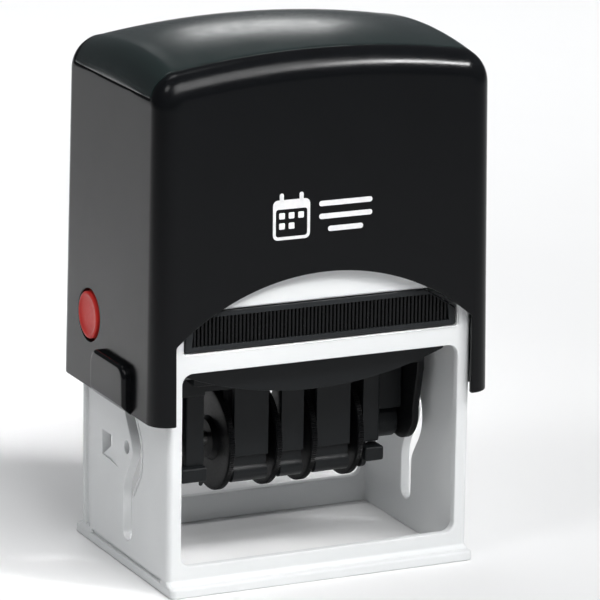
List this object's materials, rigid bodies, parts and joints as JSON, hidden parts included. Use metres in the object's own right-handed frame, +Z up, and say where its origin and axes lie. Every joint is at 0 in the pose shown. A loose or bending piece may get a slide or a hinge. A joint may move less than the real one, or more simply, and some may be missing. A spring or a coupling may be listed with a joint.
{
  "type": "rotary date stamp",
  "caption": "Self-inking rotary date stamp: press-down cover on a frame, flip-over hub with text plate, date bands and thumb wheels, slide-out ink pad, lock button.",
  "frame": {"origin": "on the desk, at the centre of the frame's foot flange", "axes": "+Z up, away from the desk; -Y towards the front of the stamp; +X to the right of someone facing that front"},
  "size_m": [0.0872, 0.056, 0.1233],
  "materials": {
    "frame_white": "satin moulded plastic, off-white",
    "cover_black": "glossy black",
    "cap_smoked": "polished, dark smoked green",
    "button_red": "semi-gloss red",
    "tray_black": "satin black",
    "felt_ink": "ink-soaked felt",
    "hub_black": "satin dark grey-black",
    "wheel_black": "satin black, knurled rim",
    "plate_rubber": "engraved stamp rubber, brick red",
    "band_rubber": "matt black rubber",
    "cushion_foam": "grey adhesive foam",
    "steel": "bright drawn steel"
  },
  "bodies": {
    "base": {"base_frame": "frame_white", "return_spring_left": "steel", "return_spring_right": "steel"},
    "ink_pad": {"ink_pad_tray": "tray_black", "ink_pad_felt": "felt_ink"},
    "cover": {"cover_shell": "cover_black", "drive_yoke": "hub_black", "pivot_pin_left": "steel", "pivot_pin_right": "steel"},
    "index_cap": {"index_cap": "cap_smoked"},
    "lock_button": {"lock_button": "button_red"},
    "hub": {"plate_carrier": "hub_black", "plate_cushion": "cushion_foam", "text_plate": "plate_rubber", "hub_body": "hub_black", "hub_side_left": "hub_black", "hub_side_right": "hub_black", "wheel_shaft": "steel", "band_anvil": "hub_black", "date_band_1": "band_rubber", "date_band_2": "band_rubber", "date_band_3": "band_rubber", "date_band_4": "band_rubber"},
    "date_wheel_1": {"date_wheel_1": "wheel_black"},
    "date_wheel_2": {"date_wheel_2": "wheel_black"},
    "date_wheel_3": {"date_wheel_3": "wheel_black"},
    "date_wheel_4": {"date_wheel_4": "wheel_black"}
  },
  "joints": [
    {"name": "cover_press", "type": "slide", "parent": "base", "child": "cover", "axis": [0, 0, -1], "range_m": [0, 0.0255], "stiffness_N_per_m": 400, "springref_m": -0.015, "deforming": ["return_spring_left", "return_spring_right"]},
    {"name": "hub_flip", "type": "hinge", "parent": "cover", "child": "hub", "pos_m": [0, 0, 0.0385], "axis": [1, 0, 0], "range_deg": [0, 180]},
    {"name": "date_wheel_1_turn", "type": "hinge", "parent": "hub", "child": "date_wheel_1", "pos_m": [0, 0, 0.0276], "axis": [1, 0, 0], "continuous": true},
    {"name": "date_wheel_2_turn", "type": "hinge", "parent": "hub", "child": "date_wheel_2", "pos_m": [0, 0, 0.0276], "axis": [1, 0, 0], "continuous": true},
    {"name": "date_wheel_3_turn", "type": "hinge", "parent": "hub", "child": "date_wheel_3", "pos_m": [0, 0, 0.0276], "axis": [1, 0, 0], "continuous": true},
    {"name": "date_wheel_4_turn", "type": "hinge", "parent": "hub", "child": "date_wheel_4", "pos_m": [0, 0, 0.0276], "axis": [1, 0, 0], "continuous": true},
    {"name": "lock_button_push", "type": "slide", "parent": "cover", "child": "lock_button", "axis": [1, 0, 0], "range_m": [0, 0.0015], "stiffness_N_per_m": 200, "springref_m": -0.001},
    {"name": "ink_pad_slide", "type": "slide", "parent": "base", "child": "ink_pad", "axis": [0, 1, 0], "range_m": [-0.045, 0]},
    {"name": "index_cap_lift", "type": "slide", "parent": "cover", "child": "index_cap", "axis": [0, 0, 1], "range_m": [0, 0.02]}
  ],
  "couplings": [
    {"joint": "hub_flip", "follows": "cover_press", "rad_per_m": 123.2}
  ]
}
